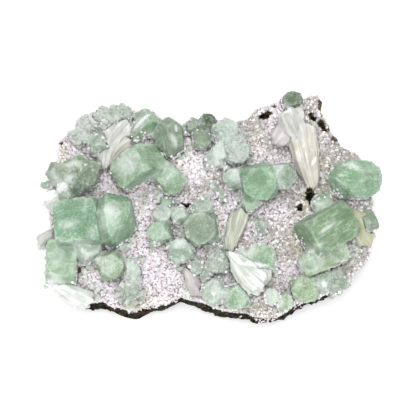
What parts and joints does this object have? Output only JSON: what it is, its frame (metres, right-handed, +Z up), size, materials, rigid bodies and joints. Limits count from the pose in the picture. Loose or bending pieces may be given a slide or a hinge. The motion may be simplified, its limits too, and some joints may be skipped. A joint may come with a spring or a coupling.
{
  "type": "apophyllite specimen",
  "caption": "Cluster of green blocky apophyllite crystals and pale stilbite sheaves on a drusy crust over a slab of basalt, lying on its flat back.",
  "frame": {"origin": "middle of the flat back that the slab lies on", "axes": "+X along the slab's length, +Y across it, +Z up through the crystals"},
  "size_m": [0.1396, 0.0937, 0.0378],
  "materials": {
    "basalt": "dark, rough broken rock",
    "druse": "sparkling crust of small lilac-white grains",
    "apophyllite": "green, see-through to milky crystal with flat, glassy faces",
    "apophyllite_pale": "pale green, frosted crystal",
    "stilbite": "pearly white to cream blades"
  },
  "bodies": {
    "root": {"basalt_matrix": "basalt", "drusy_crust": "druse", "apophyllite_left_group": "apophyllite", "apophyllite_upper_left_group": "apophyllite", "apophyllite_corner_group": "apophyllite_pale", "apophyllite_top_pair": "apophyllite", "apophyllite_main_block": "apophyllite", "apophyllite_standing_prism": "apophyllite", "apophyllite_dark_trio": "apophyllite", "apophyllite_pale_group": "apophyllite_pale", "apophyllite_lying_sliver": "apophyllite", "apophyllite_centre_right_group": "apophyllite", "apophyllite_peak_crystal": "apophyllite", "apophyllite_right_edge_crystal": "apophyllite", "apophyllite_small_right_crystal": "apophyllite", "apophyllite_right_group": "apophyllite", "apophyllite_lower_right_group": "apophyllite_pale", "apophyllite_bottom_pair": "apophyllite", "apophyllite_bottom_right_pair": "apophyllite_pale", "apophyllite_under_fan_pair": "apophyllite", "apophyllite_small_crystal": "apophyllite", "apophyllite_centre_group": "apophyllite", "apophyllite_centre_left_group": "apophyllite", "apophyllite_lower_centre_pair": "apophyllite", "apophyllite_frosted_trio": "apophyllite_pale", "apophyllite_finger_pair": "apophyllite_pale", "stilbite_left_fan": "stilbite", "stilbite_upper_left_sheaf": "stilbite", "stilbite_lower_left_sheaf": "stilbite", "stilbite_upper_right_complex": "stilbite", "stilbite_centre_sheaf": "stilbite", "stilbite_white_fan": "stilbite", "stilbite_right_sheaf": "stilbite", "stilbite_low_strip": "stilbite", "stilbite_left_knob": "stilbite", "stilbite_small_top_sheaf": "stilbite", "stilbite_pale_foot": "stilbite", "stilbite_bright_flake": "stilbite"}
  },
  "joints": []
}
